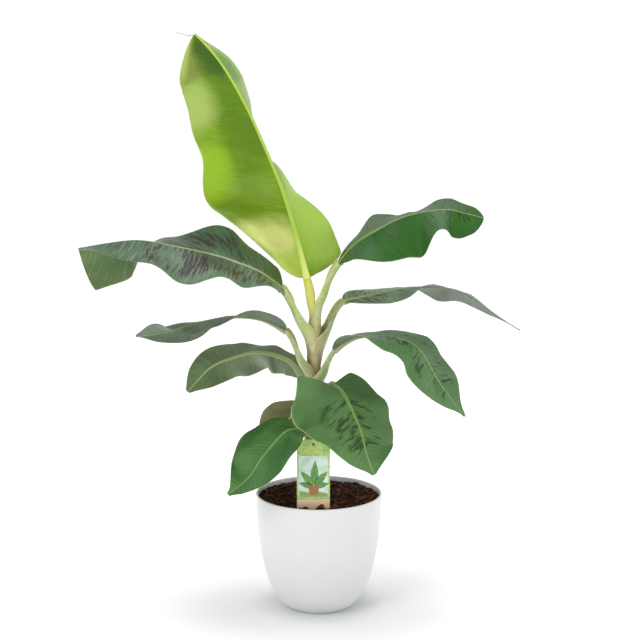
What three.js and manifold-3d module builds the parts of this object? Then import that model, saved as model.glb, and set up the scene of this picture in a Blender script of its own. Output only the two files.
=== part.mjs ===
// A young dwarf banana plant in a round white pot, in millimetres, +Z up.
// The origin is the centre of the pot's flat underside. The plant's open side faces -Y.
import * as THREE from "three";
import { mergeVertices } from "three/addons/utils/BufferGeometryUtils.js";
import Module from "manifold-3d";

const wasm = await Module();
wasm.setup();

// ---- driving dimensions -------------------------------------------------------------------

const GAP = 0.3; // air between two pieces that touch on the real plant

const POT = { rimRadius: 110, footRadius: 52, height: 202, wall: 3.5, floor: 5, lip: 1.7 };
const POT_SIDES = 44;
const POT_LEVELS = [22, 40, 65, 100, 145]; // heights between foot and rim where the wall bends
const POT_BELLY = { lower: 2, upper: 0.5 }; // powers of the curve from foot to rim

const SOIL_TOP = 194; // height of the level patch that the stem stands on
const SOIL_RELIEF = 2.4; // lumps of bark and peat stand this far above and below it
const SOIL_RINGS = 6;

const STEM = {
  x: -10, // the plant stands a little to the left of the pot's middle
  lean: 3, // sideways lean, from the soil to the top
  top: 536,
  radii: [19, 16, 15, 15, 16, 17, 17.5, 16, 9],
  sides: 20,
  steps: 20,
};

const BLADE = {
  across: 8,
  along: 18,
  crowding: 0.6, // how much closer the steps stand near both ends
  leastReach: 3.5, // half the width at the very ends
  tipPower: 0.75, // under 1 for a drawn-out tip
  thin: 0.0105, // thickness, as a share of the length
  rib: { height: 1.6, halfWidth: 0.2, taper: 0.7 }, // shares of thickness, of reach and of height
};
const PETIOLE = { sides: 12, steps: 14, channel: 0.45 };

// Each leaf: the middle line of its blade from base to tip; the way its upper side faces at
// the base and at the tip; for each half, seen by a traveller on the rib, how far it reaches,
// how far it is lifted above the face (degrees) and how far it curls on from there, at equal
// steps from base to tip; the margin's ripple; and the stalk's foot on the stem.
const LEAVES = [
  {
    name: "leaf_top",
    rib: [
      [-20, -6, 580], [-36, -12, 645], [-57, -20, 718], [-80, -27, 778], [-119, -34, 868],
      [-162, -32, 942], [-204, -26, 989],
    ],
    face: [[0, 1, 0.1], [0, 1, 0.1]],
    right: {
      reach: [43, 89, 120, 130, 115, 109, 92, 74],
      lift: [34, 31, 14, 3, 13, 13, 15, 10],
      curl: [15, 15, 15, 15, 15, 15, 15, 15],
    },
    left: {
      reach: [90, 84, 107, 112, 104, 93, 38, 8],
      lift: [36, 42, 76, 90, 96, 82, 66, 70],
      curl: [10, 10, 10, 10, 10, 10, 10, 10],
    },
    ripple: { height: 4, count: 4, start: 0.2 },
    ends: { base: 0.05, tip: 0.09 },
    stalk: { foot: 488, out: 0, radii: [8, 9, 8.5, 7], rise: 26, run: 26 },
  },
  {
    name: "leaf_upper_left",
    rib: [
      [-60, -29, 566], [-96, -48, 596], [-138, -66, 616], [-173, -82, 630],
      [-236, -110, 648], [-298, -130, 660], [-387, -140, 648],
    ],
    face: [[0.2, -0.45, 1], [0.2, -0.45, 1]],
    right: {
      reach: [48, 56, 76, 78, 78, 80, 90, 98],
      lift: [5, 2, 16, -9, -14, -46, -70, -82],
      curl: [0, 0, 0, 0, -10, -50, -20, 0],
    },
    left: {
      reach: [38, 56, 74, 77, 82, 72, 54, 40],
      lift: [10, 8, 2, -2, -10, -2, 8, 20],
      curl: [0, 0, 0, 0, 0, 0, 5, 10],
    },
    ripple: { height: 8, count: 3.45, start: 0.92 },
    ends: { base: 0.035, tip: 0.03 },
    stalk: { foot: 420, out: 2, radii: [13, 15, 12, 8.5], rise: 60, run: 30 },
  },
  {
    name: "leaf_upper_right",
    rib: [
      [33, -14, 609], [59, -24, 640], [92, -36, 664], [145, -52, 692], [208, -60, 703],
      [241, -60, 697], [274, -56, 688],
    ],
    face: [[-0.3, -0.3, 1], [0, -0.3, 1]],
    right: {
      reach: [20, 50, 64, 68, 73, 49, 50, 28],
      lift: [-5, -5, -28, -50, -62, -18, -42, -30],
      curl: [0, 0, -10, -10, -15, 0, 0, 0],
    },
    left: {
      reach: [20, 47, 62, 64, 62, 54, 42, 28],
      lift: [0, -5, 4, -12, -22, -2, 0, 10],
      curl: [0, 0, 0, 0, 0, 0, 0, 0],
    },
    ripple: { height: 3, count: 3.4, start: 0.4 },
    ends: { base: 0.1, tip: 0.06 },
    stalk: { foot: 430, out: 0, radii: [13, 15, 11, 8], rise: 112, run: 46 },
  },
  {
    name: "leaf_right",
    rib: [
      [43, 14, 539], [97, 31, 548], [154, 44, 557], [212, 56, 557], [256, 62, 545],
      [310, 62, 508], [354, 58, 480],
    ],
    face: [[0, -0.2, 1], [0, -0.2, 1]],
    right: {
      reach: [20, 40, 48, 50, 48, 46, 32, 8],
      lift: [0, -2, -4, 24, 14, 19, 20, 10],
      curl: [0, 0, 0, 0, 0, 0, 0, 0],
    },
    left: {
      reach: [24, 40, 50, 52, 52, 46, 32, 8],
      lift: [12, -4, -18, -18, -38, -30, -26, -30],
      curl: [0, 0, 0, -10, -20, -15, -10, 0],
    },
    ripple: { height: 2, count: 3, start: 0.3 },
    ends: { base: 0.07, tip: 0.3 },
    stalk: { foot: 396, out: 2, radii: [12, 13.5, 9.5, 7], rise: 77, run: 20 },
  },
  {
    name: "leaf_front_right",
    rib: [
      [27, -24, 460], [56, -40, 482], [85, -54, 490], [132, -78, 490], [169, -95, 472],
      [202, -105, 417], [243, -104, 362],
    ],
    face: [[0, -0.3, 1], [0.7, -0.7, 0.6]],
    right: {
      reach: [18, 40, 60, 74, 63, 51, 40, 12],
      lift: [35, 32, 24, 15, 5, -5, 8, 10],
      curl: [10, 5, 0, 0, 0, 0, 5, 20],
    },
    left: {
      reach: [18, 38, 50, 58, 62, 54, 38, 10],
      lift: [10, -14, -18, -15, -18, -9, 5, 0],
      curl: [0, 0, 0, 0, 0, 0, 0, 0],
    },
    ripple: { height: 2.5, count: 4, start: 0.1 },
    ends: { base: 0.12, tip: 0.22 },
    stalk: { foot: 340, out: 2, radii: [12, 13.5, 9, 6.5], rise: 62, run: 20 },
  },
  {
    name: "leaf_left",
    rib: [
      [-55, -16, 492], [-97, -4, 510], [-146, 10, 512], [-197, 20, 503], [-260, 26, 484],
      [-318, 26, 474],
    ],
    face: [[0, -0.2, 1], [0, -0.2, 1]],
    right: {
      reach: [18, 40, 52, 54, 58, 76, 60, 14],
      lift: [-20, -24, -15, -12, -12, 23, 26, -6],
      curl: [0, 0, -10, -20, -45, -140, -140, -60],
    },
    left: {
      reach: [20, 36, 46, 48, 48, 46, 36, 12],
      lift: [58, 40, 18, 0, -4, 15, 48, 60],
      curl: [20, 10, 10, 0, 0, 0, 0, 0],
    },
    ripple: { height: 2.5, count: 3.4, start: 0.6 },
    ends: { base: 0.08, tip: 0.11 },
    stalk: { foot: 366, out: 2, radii: [12, 14, 9.5, 6.5], rise: 42, run: 20 },
  },
  {
    name: "leaf_back_left",
    rib: [
      [-29, 14, 403], [-54, 27, 431], [-105, 50, 441], [-151, 74, 427], [-194, 92, 405],
      [-236, 98, 360],
    ],
    face: [[0.1, 0.9, 0.5], [0, 1, 0.4]],
    right: {
      reach: [14, 38, 52, 57, 56, 50, 34, 12],
      lift: [10, 5, 8, 12, 10, 8, 5, 0],
      curl: [10, 10, 10, 10, 10, 10, 10, 0],
    },
    left: {
      reach: [18, 29, 37, 42, 46, 44, 29, 14],
      lift: [75, 95, 104, 104, 94, 70, 42, 15],
      curl: [10, 10, 10, 10, 10, 5, 0, 0],
    },
    ripple: { height: 3, count: 4, start: 0.5 },
    ends: { base: 0.1, tip: 0.13 },
    stalk: { foot: 330, out: 4, radii: [10, 11, 8.5, 6.5], rise: 50, run: 20 },
  },
  {
    name: "leaf_front",
    rib: [
      [23, -50, 404], [39, -66, 396], [52, -84, 377], [70, -108, 339], [80, -120, 300],
      [92, -122, 266],
    ],
    face: [[0, -0.6, 1], [0.15, -1, 0.2]],
    right: {
      reach: [104, 104, 100, 92, 84, 63, 33, 10],
      lift: [44, 18, -5, 5, 15, 25, 30, 20],
      curl: [0, 0, 0, 0, 0, 0, 0, 0],
    },
    left: {
      reach: [38, 64, 80, 84, 80, 72, 62, 20],
      lift: [8, -17, -22, -28, -32, -32, -25, -10],
      curl: [0, -5, -10, -10, -10, -10, -10, 0],
    },
    ripple: { height: 2.5, count: 3, start: 0.3 },
    ends: { base: 0.028, tip: 0.2 },
    stalk: { foot: 330, out: 4, radii: [10, 10, 8, 6.5], rise: 46, run: 20 },
  },
  {
    name: "leaf_front_left",
    rib: [
      [-31, -42, 326], [-58, -58, 323], [-95, -86, 287], [-119, -100, 254],
      [-152, -108, 228],
    ],
    face: [[0, -0.6, 1], [0, -1, 0.3]],
    right: {
      reach: [36, 54, 64, 68, 67, 56, 37, 8],
      lift: [-10, -15, -20, -24, -30, -32, -28, -20],
      curl: [0, -5, -5, -5, -5, -5, 0, 0],
    },
    left: {
      reach: [34, 54, 62, 64, 60, 50, 32, 8],
      lift: [30, 30, 30, 32, 36, 42, 45, 30],
      curl: [0, 5, 5, 5, 5, 5, 5, 0],
    },
    ripple: { height: 2.5, count: 2.5, start: 0.2 },
    ends: { base: 0.12, tip: 0.26 },
    stalk: { foot: 262, out: 2, radii: [9, 9, 7.5, 6], rise: 34, run: 14 },
  },
  {
    name: "leaf_back",
    rib: [
      [-34, 16, 361], [-45, 30, 338], [-61, 48, 308], [-72, 62, 276], [-77, 70, 250],
    ],
    face: [[-0.3, 0.8, 0.5], [-0.2, 1, 0.2]],
    right: {
      reach: [24, 38, 46, 48, 46, 38, 26, 8],
      lift: [10, 5, 5, 5, 5, 5, 5, 0],
      curl: [0, 0, 0, 0, 0, 0, 0, 0],
    },
    left: {
      reach: [28, 43, 49, 48, 44, 37, 26, 8],
      lift: [5, 5, 5, 5, 5, 5, 5, 0],
      curl: [10, 10, 10, 10, 10, 10, 10, 0],
    },
    ripple: { height: 2, count: 2.5, start: 0.1 },
    ends: { base: 0.14, tip: 0.24 },
    stalk: { foot: 318, out: 6, radii: [9, 7, 5.5, 5], rise: 30, run: 8 },
  },
];

const LABEL = {
  width: 56,
  height: 120,
  thick: 1.2,
  corner: 7,
  hole: 2.6,
  holeDrop: 8, // from the top edge to the hole's middle
  bottom: 196, // the card's height above the ground, where it meets the soil
  shoulder: 8, // the card stays full width this far into the soil
  buried: 26,
  point: 0.3, // the foot's width, as a share of the card's
};
const LABEL_PLACE = { x: -9, y: -80, turn: 0.03 };

// ---- materials ----------------------------------------------------------------------------

const paint = (color, roughness) => new THREE.MeshStandardMaterial({ color, roughness, metalness: 0 });
const POT_PLASTIC = paint("#f1f1f2", 0.38);
const PEAT = paint("#3a2013", 0.95);
const CARD = paint("#a9c46a", 0.45);
const STEM_SKIN = paint("#a8a070", 0.6);
const STALK_SKIN = paint("#a9c07c", 0.5);
const YOUNG_BLADE = paint("#8fb83a", 0.5);
const OLD_BLADE = paint("#4d7f4c", 0.45);

// ---- small rules --------------------------------------------------------------------------

const UP = new THREE.Vector3(0, 0, 1);
const vector = (xyz) => new THREE.Vector3(...xyz);
const radians = THREE.MathUtils.degToRad;

// The value at share s of a list that runs evenly from 0 to 1, joined by smooth curves.
function along(values, s) {
  const last = values.length - 1;
  const i = Math.min(Math.floor(s * last), last - 1);
  const t = s * last - i;
  const [a, b, c, d] = [i - 1, i, i + 1, i + 2].map((k) => values[Math.min(Math.max(k, 0), last)]);
  const bend = (2 * a - 5 * b + 4 * c - d) * t * t + (3 * b - a - 3 * c + d) * t ** 3;
  return 0.5 * (2 * b + (c - a) * t + bend);
}

// The line through the rib's points, read by its length.
function ribCurve(points) {
  return new THREE.CatmullRomCurve3(points.map(vector), false, "catmullrom", 0.5);
}

// At share s of a curve: its point, its direction, the way up (nearest to face) and the way right.
function frameOn(curve, s, face) {
  const at = curve.getPointAt(s);
  const ahead = curve.getTangentAt(s);
  const up = face.clone().addScaledVector(ahead, -face.dot(ahead)).normalize();
  const right = new THREE.Vector3().crossVectors(ahead, up);
  return { at, ahead, up, right };
}

// The share of its full reach that a half has at s: a round shoulder and a drawn-out tip.
function outlineShare(s, ends) {
  const base = 1 - Math.min(s / ends.base, 1);
  const tip = 1 - Math.min((1 - s) / ends.tip, 1);
  return Math.sqrt(1 - base * base) * (1 - tip * tip) ** BLADE.tipPower;
}

// How far across (x) and up (y) a point lies that is share d out from the rib to the margin.
function acrossBlade(leaf, half, s, d) {
  const reach = THREE.MathUtils.lerp(BLADE.leastReach, along(half.reach, s), outlineShare(s, leaf.ends));
  const lift = radians(along(half.lift, s));
  const curl = radians(along(half.curl, s)) + 1e-6;
  const x = (Math.sin(lift + curl * d) - Math.sin(lift)) / curl;
  const y = (Math.cos(lift) - Math.cos(lift + curl * d)) / curl;
  const { height, count, start } = leaf.ripple;
  const wave = height * d * d * Math.sin(2 * Math.PI * (count * s + start)) * Math.sin(Math.PI * s);
  return { x: reach * x - wave * Math.sin(lift), y: reach * y + wave * Math.cos(lift) };
}

// The leaf's thickness: even over the blade, with the rib standing out below it.
function thickness(length, s, d) {
  const { height, halfWidth, taper } = BLADE.rib;
  return length * BLADE.thin * (1 + height * Math.max(0, 1 - d / halfWidth) * (1 - taper * s));
}

function mapVertices(geometry, rule) {
  const place = geometry.getAttribute("position");
  for (let i = 0; i < place.count; i++) {
    const p = rule(place.getX(i), place.getY(i), place.getZ(i));
    place.setXYZ(i, p.x, p.y, p.z);
  }
  geometry.deleteAttribute("uv");
  geometry.computeVertexNormals();
  return geometry;
}

// ---- solids by manifold -------------------------------------------------------------------

function solid(geometry) {
  const bare = geometry.clone();
  bare.deleteAttribute("normal");
  bare.deleteAttribute("uv");
  const merged = mergeVertices(bare, 1e-4);
  return new wasm.Manifold(
    new wasm.Mesh({
      numProp: 3,
      vertProperties: merged.getAttribute("position").array,
      triVerts: new Uint32Array(merged.index.array),
    }),
  );
}

function geometryOf(manifold) {
  const mesh = manifold.getMesh();
  const flat = new THREE.BufferGeometry();
  flat.setAttribute("position", new THREE.BufferAttribute(mesh.vertProperties, 3));
  flat.setIndex(new THREE.BufferAttribute(mesh.triVerts, 1));
  flat.computeVertexNormals();
  return flat;
}

// What is left of a shape outside all the cutters: its largest piece, without loose scraps.
function cutBy(shape, cutters) {
  const left = cutters.reduce((rest, cutter) => rest.subtract(cutter), shape);
  return left.decompose().sort((a, b) => b.volume() - a.volume())[0];
}

// ---- the pot, its soil and its label ------------------------------------------------------

const potRadius = (z) => {
  const share = 1 - (1 - z / POT.height) ** POT_BELLY.lower;
  return POT.footRadius + (POT.rimRadius - POT.footRadius) * share ** POT_BELLY.upper;
};

const latheAroundZ = (profile, sides) =>
  new THREE.LatheGeometry(profile.map(([r, z]) => new THREE.Vector2(r, z)), sides).rotateX(Math.PI / 2);

function makePot() {
  const { height, wall, floor, lip } = POT;
  const outside = [0, 2, 6, 12, ...POT_LEVELS, height - lip].map((z) => [potRadius(z), z]);
  const rim = [50, 90, 130].map((angle) => {
    const a = radians(angle);
    return [potRadius(height) - lip + lip * Math.cos(a), height - lip + lip * Math.sin(a)];
  });
  const levels = [height - lip, ...POT_LEVELS.toReversed(), floor + 4];
  const inside = levels.map((z) => [potRadius(z) - wall, z]);
  const bottom = [[potRadius(floor) - wall - 8, floor], [0, floor]];
  return latheAroundZ([[0, 0], ...outside, ...rim, ...inside, ...bottom], POT_SIDES);
}

// The soil's surface: even where the stem stands, lumpy outside that patch.
function soilHeight(x, y) {
  const away = Math.hypot(x - STEM.x, y);
  const lumps = Math.sin(x * 0.19 + 1) * Math.cos(y * 0.23) + 0.6 * Math.sin(x * 0.07 - y * 0.11);
  return SOIL_TOP + SOIL_RELIEF * lumps * THREE.MathUtils.smoothstep(away, 30, 52);
}

function makeSoil(labelSlot) {
  const { wall, floor } = POT;
  const edge = (z) => potRadius(z) - wall - GAP * 2;
  const sides = [floor + 6, ...POT_LEVELS].map((z) => [edge(z), z]);
  const rings = Array.from({ length: SOIL_RINGS }, (_, k) => {
    const share = 1 - k / SOIL_RINGS;
    return [(edge(SOIL_TOP) - 0.6) * share, SOIL_TOP];
  });
  const bottom = [[0, floor + GAP], [edge(floor) - 9, floor + GAP]];
  const bed = latheAroundZ([...bottom, ...sides, ...rings, [0, SOIL_TOP]], POT_SIDES);
  const lumpy = (x, y, z) => new THREE.Vector3(x, y, z < SOIL_TOP - 1 ? z : soilHeight(x, y));
  return geometryOf(solid(mapVertices(bed, lumpy)).subtract(labelSlot));
}

// The label's card: cut corners at the top, a round hole, and a foot that is pushed into the soil.
function labelOutline(grow) {
  const half = LABEL.width / 2 + grow;
  const top = LABEL.bottom + LABEL.height;
  const foot = LABEL.bottom - LABEL.buried - grow;
  const shoulder = LABEL.bottom - LABEL.shoulder - grow;
  const rightEdge = [
    [half * LABEL.point, foot],
    [half, shoulder],
    [half, top - LABEL.corner],
    [half - LABEL.corner, top],
  ];
  const leftEdge = rightEdge.map(([x, z]) => [-x, z]).reverse();
  const card = new THREE.Shape([...rightEdge, ...leftEdge].map(([x, z]) => new THREE.Vector2(x, z)));
  if (grow === 0) {
    const middle = top - LABEL.holeDrop;
    card.holes.push(new THREE.Path().absarc(0, middle, LABEL.hole, 0, 2 * Math.PI, true));
  }
  return card;
}

function makeLabel(grow) {
  const depth = LABEL.thick + 2 * grow;
  return new THREE.ExtrudeGeometry(labelOutline(grow), { depth, bevelEnabled: false, curveSegments: 8 })
    .rotateX(Math.PI / 2)
    .translate(0, depth / 2, 0)
    .rotateZ(LABEL_PLACE.turn)
    .translate(LABEL_PLACE.x, LABEL_PLACE.y, 0);
}

// ---- the stem, the stalks and the blades --------------------------------------------------

const stemAt = (z) =>
  new THREE.Vector3(STEM.x + (STEM.lean * (z - SOIL_TOP)) / (STEM.top - SOIL_TOP), 0, z);

// A limb: a closed tube of changing radius along a curve, with a channel along its upper side.
function limb(curve, radii, face, { sides, steps, channel = 0 }, grow = 0) {
  const tube = new THREE.CylinderGeometry(1, 1, 1, sides, steps);
  return mapVertices(tube, (x, y, z) => {
    const s = y + 0.5;
    const { at, ahead, up, right } = frameOn(curve, s, face);
    const radius = along(radii, s) + grow;
    const height = z > 0 ? z * (1 - channel * (1 - Math.abs(x)) * s) : z;
    at.addScaledVector(ahead, 2 * y * grow);
    return at.addScaledVector(right, x * radius).addScaledVector(up, height * radius);
  });
}

function makeStem(grow) {
  const axis = new THREE.LineCurve3(stemAt(SOIL_TOP + GAP), stemAt(STEM.top));
  return limb(axis, STEM.radii, new THREE.Vector3(0, -1, 0), STEM, grow);
}

// The stalk leaves the stem upwards and bends over into the line of the rib.
function stalkCurve(leaf, rib) {
  const base = rib.getPointAt(0);
  const ahead = rib.getTangentAt(0);
  const foot = stemAt(leaf.stalk.foot);
  const away = new THREE.Vector3(base.x - foot.x, base.y - foot.y, 0).normalize();
  foot.addScaledVector(away, leaf.stalk.out);
  const leave = foot.clone().addScaledVector(UP, leaf.stalk.rise);
  const arrive = base.clone().addScaledVector(ahead, -leaf.stalk.run);
  return new THREE.CubicBezierCurve3(foot, leave, arrive, base.clone().addScaledVector(ahead, -GAP));
}

function makeStalk(leaf, grow) {
  const rib = ribCurve(leaf.rib);
  const curve = stalkCurve(leaf, rib);
  const tip = frameOn(rib, 0, vector(leaf.face[0]));
  return limb(curve, leaf.stalk.radii, tip.up, PETIOLE, grow);
}

// A blade: a flat box bent along its rib, each half lifted, curled and rippled by its lists.
function makeBlade(leaf) {
  const rib = ribCurve(leaf.rib);
  const length = rib.getLength();
  const faces = leaf.face.map(vector);
  const box = new THREE.BoxGeometry(2, 1, 1, BLADE.across, 1, BLADE.along);
  return mapVertices(box, (across, through, back) => {
    const even = 0.5 - back;
    const s = even - (BLADE.crowding * Math.sin(2 * Math.PI * even)) / (2 * Math.PI);
    const { at, up, right } = frameOn(rib, s, faces[0].clone().lerp(faces[1], s));
    const d = Math.abs(across);
    const side = Math.sign(across);
    const half = side < 0 ? leaf.left : leaf.right;
    const place = acrossBlade(leaf, half, s, d);
    const lift = d === 0 ? 0 : radians(along(half.lift, s));
    const depth = thickness(length, s, d) * (through - 0.5);
    return at
      .addScaledVector(right, side * (place.x - depth * Math.sin(lift)))
      .addScaledVector(up, place.y + depth * Math.cos(lift));
  });
}

// ---- the plant ----------------------------------------------------------------------------

const plant = new THREE.Group();
const add = (name, geometry, material) => {
  const mesh = new THREE.Mesh(geometry, material);
  mesh.name = name;
  plant.add(mesh);
};

add("pot", makePot(), POT_PLASTIC);
add("soil", makeSoil(solid(makeLabel(GAP))), PEAT);
add("plant_label", makeLabel(0), CARD);
add("pseudostem", makeStem(0), STEM_SKIN);

const taken = [solid(makeStem(GAP))];
for (const leaf of LEAVES) {
  const stalk = cutBy(solid(makeStalk(leaf, 0)), taken);
  add(leaf.name.replace("leaf", "stalk"), geometryOf(stalk), STALK_SKIN);
  taken.push(solid(makeStalk(leaf, GAP)));
  add(leaf.name, makeBlade(leaf), leaf.name === "leaf_top" ? YOUNG_BLADE : OLD_BLADE);
}

export default plant;
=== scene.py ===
"""A young dwarf banana plant in a round white pot: the looks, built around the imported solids.

Everything is in metres, +Z up. The origin is the middle of the pot's flat underside, and the
label stands on the -Y side. Dimensions are written in millimetres and turned by MM.
"""

import math
import random

import bmesh
import bpy
from mathutils import Euler, Matrix, Vector, noise


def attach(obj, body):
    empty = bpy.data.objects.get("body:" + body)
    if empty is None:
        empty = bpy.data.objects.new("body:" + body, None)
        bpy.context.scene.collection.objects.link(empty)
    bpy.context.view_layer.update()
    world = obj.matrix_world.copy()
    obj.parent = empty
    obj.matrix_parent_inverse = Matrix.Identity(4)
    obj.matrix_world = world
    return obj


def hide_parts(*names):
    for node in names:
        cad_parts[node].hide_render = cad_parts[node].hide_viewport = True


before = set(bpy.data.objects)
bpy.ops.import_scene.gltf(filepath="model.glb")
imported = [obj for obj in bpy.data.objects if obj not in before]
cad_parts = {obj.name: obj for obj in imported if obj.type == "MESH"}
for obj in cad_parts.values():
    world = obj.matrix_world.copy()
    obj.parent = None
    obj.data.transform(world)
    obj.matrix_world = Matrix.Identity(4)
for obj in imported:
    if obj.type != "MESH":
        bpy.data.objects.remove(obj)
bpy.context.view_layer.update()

MM = 0.001
TAU = 2 * math.pi
BODY = "root"

# ---- driving dimensions, millimetres --------------------------------------------------------

POT = {"rim": 110, "foot": 52, "height": 202, "wall": 3.5, "floor": 5, "lip": 1.7}
POT_BELLY = {"lower": 2, "upper": 0.5}  # powers of the curve from foot to rim
POT_STEPS = 144
# the pot's foot: its rounded edge, across and up, and the ring that it stands on
FOOT = {"inward": 6, "upward": 2.2, "ring_outer": 7.5, "ring_inner": 9, "recess": 1.6}

SOIL_TOP = 194
SOIL = {"gap": 0.7, "depth": 30, "taper": 9, "hump": 2.4, "lump": 1.5, "lump_size": 9}

STEM = {"x": -10, "lean": 3, "top": 536, "radii": [19, 16, 15, 15, 16, 17, 17.5, 16, 9]}

LABEL = {
    "width": 56, "height": 120, "thick": 1.2, "corner": 7, "hole": 2.6, "hole_drop": 8,
    "bottom": 196, "shoulder": 8, "buried": 26, "point": 0.3,
}
LABEL_PLACE = {"x": -9, "y": -80, "turn": 0.03}

LEAST_REACH = 3.5  # half a blade's width at its very ends
TIP_POWER = 0.75

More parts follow.
